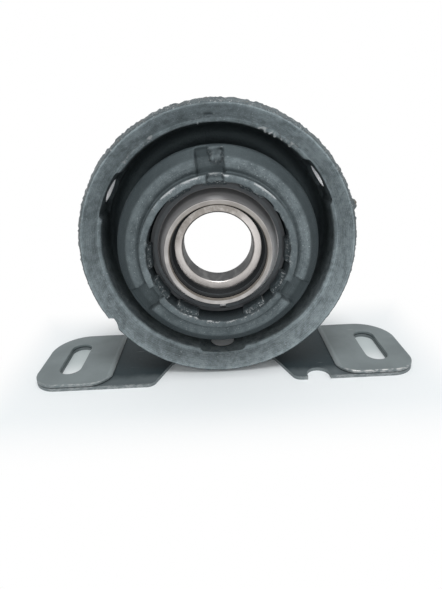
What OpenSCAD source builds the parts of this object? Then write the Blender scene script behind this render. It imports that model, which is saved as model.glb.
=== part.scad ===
// Driveshaft centre bearing: a ball bearing in a rubber cushion, inside a steel ring on two slotted feet.
// Millimetres. The origin is on the shaft axis, in the middle of the bearing's width.
// The shaft runs along Y, the dust shield faces -Y and Z is up.

/* [Bearing] */
// Diameter of the shaft hole
bore_d = 35; // [34:0.5:36]
// Outside diameter of the bearing
bearing_od = 62; // [61:0.5:63]
// Width of the bearing
bearing_w = 14; // [13.5:0.25:14.5]
// Diameter of one ball
ball_d = 7.94; // [7.5:0.02:8.1]
// Chamfer at each end of the shaft hole
bore_chamfer = 0.6; // [0.3:0.05:1.6]
// Distance of the ring lands from the ball circle, as a share of the height from the bore to the outside
land_share = 0.174; // [0.156:0.002:0.192]

/* [Dust shield and seals] */
// How far the dust shield stands out in front of the bearing
shield_len = 11.3; // [9:0.1:13]
// How far the bright front face reaches in over the outer land
shield_reach = 3.3; // [2.8:0.1:3.8]
// Width of the bright front face
shield_face_w = 2.2; // [1.8:0.1:3.2]
// How far the foot of the shield's cone stands in from the bearing's outside
cone_setback = 1.8; // [1.6:0.1:2.4]
// Thickness of the retaining ring
snap_t = 1; // [0.8:0.05:1.2]
// Width of the retaining ring's band
snap_w = 2; // [1.6:0.1:2.2]
// Opening between the ends of the retaining ring
snap_gap = 3; // [2:0.5:6]

/* [Sleeve and cushion] */
// Wall of the steel sleeve around the bearing
sleeve_wall = 2; // [1.6:0.1:2.4]
// Gap between the sleeve and the rubber lip
lip_relief = 0.8; // [0.5:0.1:1.2]
// Wall of the rubber lip
lip_wall = 3; // [2.4:0.1:3.4]
// How far the lip's front edge is from the bearing's middle
lip_front = 21.6; // [20.5:0.1:23]
// How far the pads inside the lip stand in
pad_h = 2; // [1.6:0.1:2.3]
// Width of one pad
pad_w = 11.6; // [8:0.1:13]
// Outer radius of the collar's front face
collar_face_r = 43.6; // [42:0.2:45]
// Distance of the collar's front face from the bearing's middle
collar_front = 16.7; // [16:0.1:18]
// Largest radius of the collar
collar_r = 48.9; // [47.6:0.1:50]
// Width of each notch in the collar
notch_w = 12.5; // [9:0.5:16]
// Thickness of the rubber lining inside the shell
lining_t = 5.5; // [4.5:0.1:6.5]
// Thickness of the rubber membrane at the back
membrane_t = 4; // [3:0.1:5]
// Diameter of the three round windows in the lining
window_d = 13.5; // [10:0.5:13.5]
// Width of the pocket around each window
pocket_w = 23.5; // [18:0.5:28]

/* [Shell] */
// Outer radius of the steel shell
shell_r = 66; // [65:0.5:68]
// Wall of the steel shell
shell_wall = 2.5; // [1.8:0.1:2.8]
// Distance of the shell's back edge from the bearing's middle
shell_back = 28; // [26.5:0.5:32]
// Distance of the rim's front edge from the bearing's middle
rim_front = 12.7; // [11.5:0.1:14]
// Rubber over the outside of the shell at the rim
rim_cover = 1.4; // [0.8:0.1:1.8]

/* [Feet] */
// Distance between the two slots
slot_spacing = 167.5; // [164:0.5:172]
// Width of a slot
slot_w = 11.5; // [8:0.5:13]
// Length of a slot
slot_len = 33.5; // [26:0.5:38]
// Distance from the middle to the outer end of a foot
foot_end = 100.6; // [96:0.2:104]
// Distance from the middle to the inner edge of a foot plate
plate_in = 59.5; // [57:0.1:63]
// Length of a foot along the shaft
foot_len = 55; // [48:0.5:62]
// How far the feet sit behind the bearing's middle
foot_y = 4; // [0:0.1:6]
// Thickness of the strap
strap_t = 1.9; // [1.6:0.1:3]
// Thickness of a foot plate
plate_t = 2; // [1.6:0.1:2.6]
// Radius of the half-round cut in the strap's front edge
relief_r = 5.9; // [4:0.1:7]

/* [Hidden] */
$fn = 96;
over = 1;
bore_r = bore_d / 2;
bearing_r = bearing_od / 2;
half_w = bearing_w / 2;
ring_height = bearing_r - bore_r;
ball_r = ball_d / 2;
ball_count = 11;
ball_step = 360 / ball_count;
pitch_r = (bore_r + bearing_r) / 2;
land_offset = land_share * ring_height;
inner_land_r = pitch_r - land_offset;
outer_land_r = pitch_r + land_offset;
shield_in_r = outer_land_r - shield_reach;
shield_cone_r = bearing_r - cone_setback;
race_clear = 0.08;
race_r = ball_r + race_clear;
edge_chamfer = 0.8;
land_chamfer = 0.25;

cage_gap = 1;
cage_half_w = land_offset - cage_gap;
cage_in_r = pitch_r - cage_half_w;
cage_out_r = pitch_r + cage_half_w;
cage_t = 0.8;
cage_clear = 0.1;
rivet_r = 0.5;
rivet_head_r = 0.9;
rivet_head_h = 0.4;

seal_clear = 0.3;
seal_gap = 1;
seal_back = half_w + seal_gap;
shield_nose = 3;
seal_front = half_w + shield_len - shield_nose;
seal_over = 0.6;
seal_in_r = inner_land_r - seal_over;
seat_wall = 0.3;
seal_seat_r = shield_in_r + shield_face_w - seat_wall;
seal_tuck = 0.2;
seal_step = 0.7;
rib_count = 3;
rib_pitch = 1.35;
rib_land = 0.75;
rib_h = 0.85;
rib_lean = 0.25;
insert_t = 0.7;
insert_clear = 0.7;
insert_in_r = inner_land_r + insert_clear;
rear_insert_clear = 1;
rear_insert_in_r = inner_land_r + rear_insert_clear;
rear_seal_t = 1.1;
rear_insert_t = 0.4;
rear_seal_depth = 0.3;
rear_seal_y = half_w - rear_seal_depth;
rear_insert_y = rear_seal_y - rear_seal_t - rear_insert_t;
cage_seal_gap = 0.2;
cage_room = rear_insert_y - cage_seal_gap;

flange_t = 1;
shield_foot = 1.3;
flange_clear = 0.2;
flange_r = bearing_r - flange_clear;
shield_front = half_w + shield_len;
snap_back = half_w + flange_t;
snap_bite = 0.7;
snap_out_r = bearing_r + snap_bite;
snap_clear = 0.05;
snap_angle = 272;

sleeve_r = bearing_r + sleeve_wall;
sleeve_lip = 0.6;
sleeve_front = snap_back + snap_t + sleeve_lip;
sleeve_stop_t = 2;
sleeve_stop_h = 2.5;
sleeve_stop_r = bearing_r - sleeve_stop_h;
sleeve_mouth_w = 0.5;
sleeve_mouth_r = bearing_r + sleeve_mouth_w;

lip_in_r = sleeve_r + lip_relief;
lip_r = lip_in_r + lip_wall;
lip_round = 0.7;
lip_root = 1.2;
lip_foot = 0.4;
lip_foot_h = 0.9;
pad_spread = 30;
pad_gap = 0.6;
pad_back = sleeve_front + pad_gap;
pad_setback = 2.8;
pad_front = lip_front - pad_setback;
pad_lead = 2;
pad_root = 0.4;
bond_front = 5;
neck_taper = 2.4;
neck_r = collar_r - neck_taper;
neck_y = 4;
back_fillet = 5.5;
collar_side = collar_front - (collar_r - collar_face_r);
collar_band = 3;
notch_clear = 0.2;
notch_in_r = lip_r + notch_clear;
notch_wall = 1.9;
notch_r = collar_r - notch_wall;
notch_depth = 5.2;
notch_floor = collar_front - notch_depth;
lip_notch_w = 0.6 * notch_w;
lip_notch_depth = 7.6;
lip_notch_floor = lip_front - lip_notch_depth;
notch_at = [90, 210, 330];

shell_in_r = shell_r - shell_wall;
lining_r = shell_in_r - lining_t;
turn_mid_r = (neck_r + lining_r) / 2;
turn_r = (lining_r - neck_r) / 2;
turn_y = 16;
back_from = 40;
back_to = 140;
window_at = [30.5, 152, 270];
window_y = 9;
window_start = 3;
pocket_depth = 1.7;
pocket_r = lining_r + pocket_depth;
dimple_set = 0.2;
dimple_r = pocket_r + dimple_set;
dimple_clear = 0.1;
dimple_d = window_d - 2 * dimple_clear;
dimple_wall = 0.5;
pierced_at = [window_at[0], window_at[1]];
pocket_back = 14;

shell_front = 4.5;
rim_strip_w = 2;
rim_in_r = lining_r + rim_strip_w;
rim_in_front = 4.7;
strip_side = 1.3;
strip_back = rim_in_front - strip_side;
strip_step = 0.6;
rim_edge = 0.4;
rim_edge_w = 1;
rim_face_in = 0.7;
rim_face_r = shell_r - rim_face_in;
rim_r = shell_r + rim_cover;
rim_back = 2;
rim_shoulder = 3.2;

strap_top = -shell_r;
strap_bottom = strap_top - strap_t;
plate_top = strap_top + plate_t;
foot_front = foot_y - foot_len / 2;
foot_back = foot_y + foot_len / 2;
outer_front_round = 13;
outer_back_round = 20;
inner_front_round = 11;
inner_back_round = 3;
plate_edge_round = 3;
plate_edge_run = sqrt(2 * plate_edge_round * plate_t - plate_t * plate_t);
web_x = 35.3;
web_round = 5;
web_lean = 195;
throat_x = 28.6;
throat_y = -2.5;
throat_mid_x = 22;
throat_mid_y = 4;
relief_x = 49;
relief_depth = 2.4;
relief_y = foot_front + relief_depth;
weld_in_x = 8;
weld_out_x = 17.5;
weld_top_x = 16;
weld_h = 3;
weld_side_h = 2.1;
weld_setback = 2;
weld_front = throat_mid_y + weld_setback;
weld_end = 1;
weld_back = shell_back - weld_end;

// Points on an arc, from one angle to another in equal steps
function arc(mid, r, from, to, steps) = [
    for (i = [0 : steps]) mid + r * [cos(from + (to - from) * i / steps), sin(from + (to - from) * i / steps)]
];

// A profile of [radius, distance along the shaft], turned about the shaft
module turned(profile) {
    rotate([-90, 0, 0])
        rotate_extrude()
            polygon(profile);
}

// Puts a piece built along +X at an angle seen from the front
module at_angle(a) {
    rotate([0, -a, 0])
        children();
}

// A block at an angle seen from the front, between two radii and two distances along the shaft
module radial_block(a, r_from, r_to, from, to, w) {
    at_angle(a)
        translate([r_from, from, -w / 2])
            cube([r_to - r_from, to - from, w]);
}

// A cylinder along the shaft
module along_shaft(r, from, to) {
    translate([0, from, 0])
        rotate([-90, 0, 0])
            cylinder(r = r, h = to - from);
}

// What is cut off a square corner at the origin to round it, with the material on its +X +Y side
module corner_cut(r, h) {
    difference() {
        translate([-over, -over, 0])
            cube([r + over, r + over, h]);
        translate([r, r, -over])
            cylinder(r = r, h = h + 2 * over);
    }
}

// What is cut off above a plate's rolled inner edge, with the end of its flat top at the origin
module rolled_edge_cut(h) {
    difference() {
        translate([-plate_edge_run - over, -plate_t - over, 0])
            cube([plate_edge_run + over, plate_t + 2 * over, h]);
        translate([0, -plate_edge_round, -over])
            cylinder(r = plate_edge_round, h = h + 2 * over);
    }
}

// A foot's outer end in plan, on the right side, between two heights
module foot_block(inner_x, low, high) {
    h = high - low;
    difference() {
        translate([inner_x, foot_front, low])
            cube([foot_end - inner_x, foot_len, h]);
        translate([foot_end, foot_front, low - over])
            rotate([0, 0, 90])
                corner_cut(outer_front_round, h + 2 * over);
        translate([foot_end, foot_back, low - over])
            rotate([0, 0, 180])
                corner_cut(outer_back_round, h + 2 * over);
        foot_slot(low - over, high + over);
    }
}

// The slot through the right foot
module foot_slot(low, high) {
    h = high - low;
    straight = slot_len - slot_w;
    translate([slot_spacing / 2, foot_y, low]) {
        translate([-slot_w / 2, -straight / 2, 0])
            cube([slot_w, straight, h]);
        for (s = [-1, 1])
            translate([0, s * straight / 2, 0])
                cylinder(r = slot_w / 2, h = h);
    }
}

// Half of the open throat in the strap's front edge, under the ring
function throat_half() = concat(
    [[0, foot_front - over], [web_x + web_round, foot_front - over], [web_x + web_round, foot_front]],
    arc([web_x + web_round, foot_front + web_round], web_round, 270, web_lean, 6),
    [[throat_x, throat_y], [throat_mid_x, throat_mid_y], [0, throat_mid_y]]
);

// One flat pressed sheet that carries the ring and reaches out under both feet
module mounting_strap() {
    color([0.2, 0.22, 0.23])
        difference() {
            union() {
                translate([-plate_in, foot_front, strap_bottom])
                    cube([2 * plate_in, foot_len, strap_t]);
                foot_block(plate_in - over, strap_bottom, strap_top);
                mirror([1, 0, 0])
                    foot_block(plate_in - over, strap_bottom, strap_top);
            }
            for (m = [0, 1])
                mirror([m, 0, 0])
                    translate([0, 0, strap_bottom - over])
                        linear_extrude(strap_t + 2 * over)
                            polygon(throat_half());
            translate([relief_x, relief_y, strap_bottom - over])
                cylinder(r = relief_r, h = strap_t + 2 * over);
            translate([relief_x - relief_r, foot_front - over, strap_bottom - over])
                cube([2 * relief_r, relief_y - foot_front + over, strap_t + 2 * over]);
        }
}

// The second layer of sheet on the right foot, with its inner edge rolled over
module foot_plate() {
    difference() {
        foot_block(plate_in, strap_top, plate_top);
        translate([plate_in, foot_front, strap_top - over])
            corner_cut(inner_front_round, plate_t + 2 * over);
        translate([plate_in, foot_back, strap_top - over])
            rotate([0, 0, -90])
                corner_cut(inner_back_round, plate_t + 2 * over);
        translate([plate_in + plate_edge_run, foot_back + over, plate_top])
            rotate([90, 0, 0])
                rolled_edge_cut(foot_len + 2 * over);
    }
}

module foot_plate_right() {
    color([0.24, 0.26, 0.27])
        foot_plate();
}

module foot_plate_left() {
    color([0.24, 0.26, 0.27])
        mirror([1, 0, 0])
            foot_plate();
}

// Steel ring that stands on the strap, dimpled behind each window; the dimples clear of the strap are pierced
module outer_shell() {
    color([0.6, 0.62, 0.64])
        difference() {
            union() {
                turned([
                    [shell_in_r, -shell_front], [shell_r, -shell_front],
                    [shell_r, shell_back], [shell_in_r, shell_back]
                ]);
                for (a = window_at)
                    at_angle(a)
                        translate([dimple_r, window_y, 0])
                            rotate([0, 90, 0])
                                cylinder(r = dimple_d / 2, h = shell_in_r + shell_wall / 2 - dimple_r);
            }
            for (a = pierced_at)
                at_angle(a)
                    translate([dimple_r - over, window_y, 0])
                        rotate([0, 90, 0])
                            cylinder(r = dimple_d / 2 - dimple_wall, h = shell_r - dimple_r + 2 * over);
        }
}

// A fillet of weld on each side of the line where the shell meets the strap
module weld_beads() {
    color([0.32, 0.33, 0.34])
        difference() {
            for (m = [0, 1])
                mirror([m, 0, 0])
                    translate([0, weld_back, 0])
                        rotate([90, 0, 0])
                            linear_extrude(weld_back - weld_front)
                                polygon([
                                    [weld_in_x, strap_top], [weld_out_x, strap_top],
                                    [weld_top_x, strap_top + weld_side_h], [weld_in_x, strap_top + weld_h]
                                ]);
            along_shaft(shell_r, weld_front - over, weld_back + over, $fn = 720);
        }
}

// Section of the lip, the collar and the membrane that turns back behind them
function collar_profile() = concat(
    [
        [sleeve_r, half_w + sleeve_stop_t], [sleeve_r, -bond_front], [lip_in_r, -bond_front - lip_relief],
        [lip_in_r, -lip_front + lip_round], [lip_in_r + lip_round, -lip_front],
        [lip_r - lip_round, -lip_front], [lip_r, -lip_front + lip_round],
        [lip_r + lip_foot, -collar_front - lip_foot_h], [lip_r + lip_root, -collar_front],
        [collar_face_r, -collar_front], [collar_r, -collar_side], [collar_r, -collar_side + collar_band],
        [neck_r, neck_y]
    ],
    arc([turn_mid_r, turn_y], turn_r, 180, 0, 8),
    [[shell_in_r, turn_y], [shell_in_r, turn_y + membrane_t]],
    arc([turn_mid_r, turn_y], turn_r + membrane_t, back_from, back_to, 7),
    [[neck_r - back_fillet, half_w + 2 * sleeve_stop_t]]
);

// Section of the lining inside the shell and of the rim over its front edge
function rim_profile() = [
    [lining_r, turn_y], [lining_r, -strip_back], [lining_r + strip_step, -rim_in_front + rim_edge],
    [rim_in_r, -rim_in_front],
    [rim_face_r, -rim_front], [rim_face_r + rim_edge_w, -rim_front + rim_edge],
    [rim_r, -rim_front + rim_shoulder], [rim_r, -rim_back - rim_edge_w], [rim_r - rim_edge, -rim_back],
    [shell_r, -rim_back], [shell_r, -shell_front], [shell_in_r, -shell_front], [shell_in_r, turn_y]
];

// The lining and the rim, with the three windows and the pocket around each
module lining_and_rim() {
    difference() {
        turned(rim_profile());
        for (a = window_at)
            radial_block(a, lining_r - window_start, pocket_r, -rim_front, pocket_back, pocket_w);
        for (a = window_at)
            at_angle(a)
                translate([lining_r - window_start, window_y, 0])
                    rotate([0, 90, 0])
                        cylinder(r = window_d / 2, h = shell_in_r - lining_r + window_start + over);
    }
}

// Lip, collar and membrane, with three notches through the collar and a narrower one through the lip at each
module lip_and_collar() {
    difference() {
        turned(collar_profile());
        for (a = notch_at)
            radial_block(a, notch_in_r, notch_r, -lip_front - over, -notch_floor, notch_w);
        for (a = notch_at)
            radial_block(
                a, lip_in_r - over, notch_in_r + over, -lip_front - over, -lip_notch_floor, lip_notch_w
            );
    }
}

// Three pads at each notch, on the inner side of the lip, sloped at the front
module lip_pads() {
    for (a = notch_at)
        for (d = [-pad_spread, 0, pad_spread])
            intersection() {
                radial_block(a + d, lip_in_r - pad_h - over, lip_r, -lip_front, -sleeve_front, pad_w);
                turned([
                    [lip_in_r - pad_h, -pad_back], [lip_in_r - pad_h, -pad_front + pad_lead],
                    [lip_in_r + pad_root, -pad_front], [lip_in_r + pad_root, -pad_back]
                ]);
            }
}

module rubber_cushion() {
    color([0.13, 0.14, 0.15]) {
        lining_and_rim();
        lip_and_collar();
        lip_pads();
    }
}

// Steel sleeve bonded inside the cushion, with a stop behind the bearing
module inner_sleeve() {
    color([0.16, 0.17, 0.18])
        turned([
            [sleeve_mouth_r, -sleeve_front], [sleeve_r, -sleeve_front],
            [sleeve_r, half_w + sleeve_stop_t], [sleeve_stop_r, half_w + sleeve_stop_t],
            [sleeve_stop_r, half_w], [bearing_r, half_w],
            [bearing_r, -snap_back + snap_clear], [snap_out_r + snap_clear, -snap_back + snap_clear],
            [snap_out_r + snap_clear, -snap_back - snap_t - snap_clear],
            [sleeve_mouth_r, -snap_back - snap_t - snap_clear]
        ]);
}

// Split ring that holds the dust shield against the bearing
module retaining_ring() {
    color([0.42, 0.43, 0.45])
        difference() {
            turned([
                [snap_out_r - snap_w, -snap_back - snap_t], [snap_out_r, -snap_back - snap_t],
                [snap_out_r, -snap_back], [snap_out_r - snap_w, -snap_back]
            ]);
            at_angle(snap_angle)
                translate([snap_out_r - snap_w - over, -snap_back - snap_t - over, -snap_gap / 2])
                    cube([snap_w + 2 * over, snap_t + 2 * over, snap_gap]);
        }
}

// The round groove that the balls run in
module ball_groove() {
    rotate([-90, 0, 0])
        rotate_extrude()
            translate([pitch_r, 0])
                circle(r = race_r);
}

module bearing_outer_ring() {
    color([0.62, 0.63, 0.65])
        difference() {
            turned([
                [outer_land_r, -half_w], [bearing_r - edge_chamfer, -half_w],
                [bearing_r, -half_w + edge_chamfer], [bearing_r, half_w - edge_chamfer],
                [bearing_r - edge_chamfer, half_w], [outer_land_r, half_w]
            ]);
            ball_groove();
        }
}

module bearing_inner_ring() {
    color([0.75, 0.76, 0.78])
        difference() {
            turned([
                [bore_r + bore_chamfer, -half_w], [inner_land_r - land_chamfer, -half_w],
                [inner_land_r, -half_w + land_chamfer], [inner_land_r, half_w - land_chamfer],
                [inner_land_r - land_chamfer, half_w], [bore_r + bore_chamfer, half_w],
                [bore_r, half_w - bore_chamfer], [bore_r, -half_w + bore_chamfer]
            ]);
            ball_groove();
        }
}

// Turned ring in front of the bearing, clamped by its flange
module front_dust_shield() {
    color([0.66, 0.67, 0.69])
        turned([
            [shield_in_r, -shield_front], [shield_in_r + shield_face_w, -shield_front],
            [shield_cone_r, -snap_back - shield_foot], [shield_cone_r, -snap_back],
            [flange_r, -snap_back], [flange_r, -half_w], [outer_land_r, -half_w],
            [outer_land_r, -seal_back], [seal_seat_r, -seal_front],
            [shield_in_r, -seal_front - seal_step]
        ]);
}

// The zigzag of ribs on the inner side of the front seal
function seal_ribs() = [
    for (i = [0 : rib_count - 1]) each [
        [seal_in_r + i * rib_lean, -seal_back - i * rib_pitch - rib_land],
        [seal_in_r + i * rib_lean + rib_h, -seal_back - (i + 1) * rib_pitch]
    ]
];

// Rubber seal inside the dust shield
module front_seal() {
    color([0.08, 0.09, 0.1])
        turned(concat(
            [[seal_in_r, -seal_back]],
            seal_ribs(),
            [[shield_in_r - seal_tuck, -seal_front], [seal_seat_r, -seal_front], [outer_land_r, -seal_back]]
        ));
}

// Steel washer behind the front seal
module front_seal_insert() {
    color([0.5, 0.51, 0.52])
        turned([
            [insert_in_r, -seal_back], [outer_land_r, -seal_back],
            [outer_land_r, -seal_back + insert_t], [insert_in_r, -seal_back + insert_t]
        ]);
}

module rear_seal() {
    color([0.08, 0.09, 0.1])
        turned([
            [inner_land_r + seal_clear, rear_seal_y - rear_seal_t], [outer_land_r, rear_seal_y - rear_seal_t],
            [outer_land_r, rear_seal_y], [inner_land_r + seal_clear, rear_seal_y]
        ]);
}

// Steel washer on the inner side of the rear seal
module rear_seal_insert() {
    color([0.5, 0.51, 0.52])
        turned([
            [rear_insert_in_r, rear_insert_y], [outer_land_r, rear_insert_y],
            [outer_land_r, rear_insert_y + rear_insert_t], [rear_insert_in_r, rear_insert_y + rear_insert_t]
        ]);
}

// The front half of the pressed cage: flat between the balls and raised over each ball
module cage_half() {
    difference() {
        intersection() {
            union() {
                turned([
                    [cage_in_r, -cage_t], [cage_out_r, -cage_t], [cage_out_r, 0], [cage_in_r, 0]
                ]);
                for (i = [0 : ball_count - 1])
                    at_angle(i * ball_step)
                        translate([cage_in_r - over, 0, 0])
                            rotate([0, 90, 0])
                                cylinder(
                                    r = ball_r + cage_clear + cage_t,
                                    h = cage_out_r - cage_in_r + 2 * over
                                );
            }
            turned([
                [cage_in_r, -cage_room], [cage_out_r, -cage_room], [cage_out_r, 0], [cage_in_r, 0]
            ]);
        }
        for (i = [0 : ball_count - 1]) {
            at_angle(i * ball_step)
                translate([cage_in_r - 2 * over, 0, 0])
                    rotate([0, 90, 0])
                        cylinder(r = ball_r + cage_clear, h = cage_out_r - cage_in_r + 4 * over);
            at_angle((i + 0.5) * ball_step)
                translate([pitch_r, 0, 0])
                    along_shaft(rivet_r, -half_w, over);
        }
    }
}

module cage_front_half() {
    color([0.55, 0.53, 0.48])
        cage_half();
}

module cage_rear_half() {
    color([0.55, 0.53, 0.48])
        mirror([0, 1, 0])
            cage_half();
}

module cage_rivets() {
    color([0.6, 0.6, 0.6])
        for (i = [0 : ball_count - 1])
            at_angle((i + 0.5) * ball_step)
                translate([pitch_r, 0, 0]) {
                    along_shaft(rivet_r, -cage_t - rivet_head_h, cage_t + rivet_head_h);
                    along_shaft(rivet_head_r, -cage_t - rivet_head_h, -cage_t);
                    along_shaft(rivet_head_r, cage_t, cage_t + rivet_head_h);
                }
}

module ball(i) {
    color([0.8, 0.81, 0.82])
        at_angle(i * ball_step)
            translate([pitch_r, 0, 0])
                sphere(r = ball_r);
}

module ball_01() { ball(0); }
module ball_02() { ball(1); }
module ball_03() { ball(2); }
module ball_04() { ball(3); }
module ball_05() { ball(4); }
module ball_06() { ball(5); }
module ball_07() { ball(6); }
module ball_08() { ball(7); }
module ball_09() { ball(8); }
module ball_10() { ball(9); }
module ball_11() { ball(10); }

mounting_strap();
foot_plate_left();
foot_plate_right();
outer_shell();
weld_beads();
rubber_cushion();
inner_sleeve();
retaining_ring();
bearing_outer_ring();
bearing_inner_ring();
front_dust_shield();
front_seal();
front_seal_insert();
rear_seal();
rear_seal_insert();
cage_front_half();
cage_rear_half();
cage_rivets();
ball_01();
ball_02();
ball_03();
ball_04();
ball_05();
ball_06();
ball_07();
ball_08();
ball_09();
ball_10();
ball_11();
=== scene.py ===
import math
import bpy
import numpy as np
from mathutils import Matrix, Vector


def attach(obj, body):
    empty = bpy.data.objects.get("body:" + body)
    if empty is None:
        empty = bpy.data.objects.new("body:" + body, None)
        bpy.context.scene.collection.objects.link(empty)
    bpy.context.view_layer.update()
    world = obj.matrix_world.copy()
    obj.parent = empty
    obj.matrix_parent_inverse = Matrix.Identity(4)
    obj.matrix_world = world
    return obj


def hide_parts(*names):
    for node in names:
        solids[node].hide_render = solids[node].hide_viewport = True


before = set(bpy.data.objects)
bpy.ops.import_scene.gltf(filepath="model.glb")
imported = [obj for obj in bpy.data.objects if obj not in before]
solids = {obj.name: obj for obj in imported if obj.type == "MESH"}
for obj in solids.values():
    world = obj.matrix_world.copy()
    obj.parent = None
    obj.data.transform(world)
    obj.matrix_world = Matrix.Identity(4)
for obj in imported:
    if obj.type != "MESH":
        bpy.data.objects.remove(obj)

scene = bpy.context.scene
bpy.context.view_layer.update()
mm = 0.001
print("frame loaded with", len(solids), "solids")


# Camera, as found from the round edges, the slots and the feet; the image is 442 x 589
lensView = dict(
    place=(0.3, -217.7, 58.5),  # mm
    pitchDown=21.6,             # degrees
    roll=-2.75,
    focalPixels=440,
    imageHeight=589,
    sensor=36,
)


def addCamera(view):
    data = bpy.data.cameras.new("photoCamera")
    data.sensor_width = view["sensor"]
    data.lens = view["focalPixels"] / view["imageHeight"] * view["sensor"]
    data.clip_start = 0.005
    camera = bpy.data.objects.new("photoCamera", data)
    scene.collection.objects.link(camera)
    place = Matrix.Translation([v * mm for v in view["place"]])
    pitch = Matrix.Rotation(math.radians(90 - view["pitchDown"]), 4, "X")
    roll = Matrix.Rotation(math.radians(view["roll"]), 4, "Z")
    camera.matrix_world = place @ pitch @ roll
    scene.camera = camera


addCamera(lensView)
scene.view_settings.view_transform = "Standard"
print("camera placed")


def operator(operation):  # the operator and its reflected form, so that 1 - mask works too
    def forward(self, other):
        return self.maths(operation, self, other)

    def reflected(self, other):
        return self.maths(operation, other, self)

    return forward, reflected


class Wire:  # one output socket; arithmetic on it adds Math nodes
    __add__, __radd__ = operator("ADD")
    __sub__, __rsub__ = operator("SUBTRACT")
    __mul__, __rmul__ = operator("MULTIPLY")
    __truediv__, __rtruediv__ = operator("DIVIDE")
    __pow__, __rpow__ = operator("POWER")

    def __init__(self, tree, socket):
        self.tree = tree
        self.socket = socket

    def __abs__(self):
        return self.maths("ABSOLUTE", self)

    def add(self, kind, settings=None, sockets=None, out=0):  # any node: settings first, then its sockets
        node = self.tree.nodes.new(kind)
        for name, value in (settings or {}).items():
            setattr(node, name, value)
        for name, value in (sockets or {}).items():
            if isinstance(value, Wire):
                self.tree.links.new(value.socket, node.inputs[name])
            else:
                node.inputs[name].default_value = value
        return Wire(self.tree, node.outputs[out]) if node.outputs else None

    def maths(self, operation, first, second=0.0):
        return self.add("ShaderNodeMath", {"operation": operation}, {0: first, 1: second})

    def axis(self, letter):  # x, y or z of a vector, in millimetres
        return self.add("ShaderNodeSeparateXYZ", {}, {0: self}, letter) * 1000

    def noise(self, size, detail=3, rough=0.55, stretch=(1, 1, 1)):  # size of a blotch in mm
        scaled = self.add("ShaderNodeMapping", {}, {"Vector": self, "Scale": stretch})
        return self.add("ShaderNodeTexNoise", {}, {
            "Vector": scaled, "Scale": 1000 / size, "Detail": detail, "Roughness": rough})

    def lines(self, size, detail=2):  # one-dimensional noise along this value, in mm
        return self.add("ShaderNodeTexNoise", {"noise_dimensions": "1D"}, {
            "W": self / size, "Detail": detail})

    def ease(self, low, high):  # 0 below low, 1 above high, smooth between
        return self.add("ShaderNodeMapRange", {"interpolation_type": "SMOOTHSTEP"}, {
            0: self, 1: low, 2: high})

    def fall(self, low, high):
        return 1 - self.ease(low, high)

    def blend(self, first, second):  # a colour: first at 0, second at 1
        first = first if isinstance(first, Wire) else (*first, 1)
        second = second if isinstance(second, Wire) else (*second, 1)
        return self.add("ShaderNodeMix", {"data_type": "RGBA"}, {0: self, 6: first, 7: second}, 2)

    def bump(self, depth, strength=1.0):  # this value as a height of so many mm
        return self.add("ShaderNodeBump", {}, {
            "Height": self, "Distance": depth * mm, "Strength": strength})


def startFinish(name):
    finish = bpy.data.materials.new(name)
    finish.use_nodes = True
    finish.node_tree.nodes.clear()
    place = Wire(finish.node_tree, None).add("ShaderNodeTexCoord", out="Object")
    return finish, place


def endFinish(place, sockets):
    surface = place.add("ShaderNodeBsdfPrincipled", {}, sockets)
    place.add("ShaderNodeOutputMaterial", {}, {"Surface": surface})


def radiusOf(place):  # distance from the shaft axis, mm
    x, z = place.axis("X"), place.axis("Z")
    return (x * x + z * z) ** 0.5


def towards(place, direction):  # how far a point lies that way across the shaft axis, mm
    return place.axis("X") * direction[0] + place.axis("Z") * direction[1]


def mark(place, name):  # a value kept on the mesh's points
    return place.add("ShaderNodeAttribute", {"attribute_name": name}, {}, "Fac")


# Moulded rubber: near black; paler where the mesh is marked as rubbed, a mark that also holds painted light
# and shade; torn skin where it is marked as frayed, a mark that also holds a painted highlight
rubberLook = dict(
    dark=(0.019, 0.025, 0.028),
    pale=(0.280, 0.327, 0.345),
    skin=(0.520, 0.535, 0.540),
    dust=(0.230, 0.190, 0.150),
    dustFrom=(62, 66),              # mm from the shaft axis
    gloss=(0.78, 0.95, 1.0, 1),
    cloud=12, scuff=3.6, rings=1.1, grain=0.9, grit=0.6, speck=1.0, crumb=0.8, dusting=4,  # blotch sizes, mm
    wholeSkin=(0.65, 1.0),          # frayed more than this, the skin is an unbroken line
    relief=0.38,                    # mm
)


def rubberFinish(look):
    finish, place = startFinish("mouldedRubber")
    # the second mark is the rubber's paleness: rubbed bloom together with painted light and shade round the
    # ring and in its notches, pads, dent and lining
    frayed, rubbed, radius = mark(place, "wear"), mark(place, "bloomAndPaintedLight"), radiusOf(place)
    cloud = place.noise(look["cloud"], 4, 0.6).ease(0.32, 0.68)
    grain = place.noise(look["grain"], 4, 0.65)
    grit = place.noise(look["grit"], 2, 0.6)
    rings = radius.lines(look["rings"], 3)
    scuff = place.noise(look["scuff"], 5, 0.75)
    speck = place.noise(look["speck"], 3, 0.7).ease(0.54, 0.64)
    crumb = place.noise(look["crumb"], 2, 0.6).ease(0.65, 0.71)
    mottle = 0.30 + cloud * 0.30 + scuff.ease(0.36, 0.64) * 0.42 + rings.ease(0.35, 0.65) * 0.28
    tone = rubbed * (mottle * (0.62 + grit * 0.76) + crumb)
    body = tone.blend(look["dark"], look["pale"])
    dusty = place.noise(look["dusting"], 2).ease(0.50, 0.62) * radius.ease(*look["dustFrom"])
    torn = frayed * speck
    torn = torn.maths("MAXIMUM", torn, frayed.ease(*look["wholeSkin"]) * 0.85)
    torn = torn.maths("MAXIMUM", torn, crumb * rubbed * 0.45)
    relief = grain * 0.5 + scuff * 0.7 + rings * rubbed * 0.4 + frayed * speck
    endFinish(place, {
        "Base Color": torn.blend(body, dusty.blend(look["skin"], look["dust"])),
        "Roughness": 0.42 + grain * 0.22 + frayed * 0.15,
        "Specular IOR Level": 0.5,
        "Specular Tint": look["gloss"],
        "Normal": relief.bump(look["relief"], 0.9),
    })
    return finish


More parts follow.
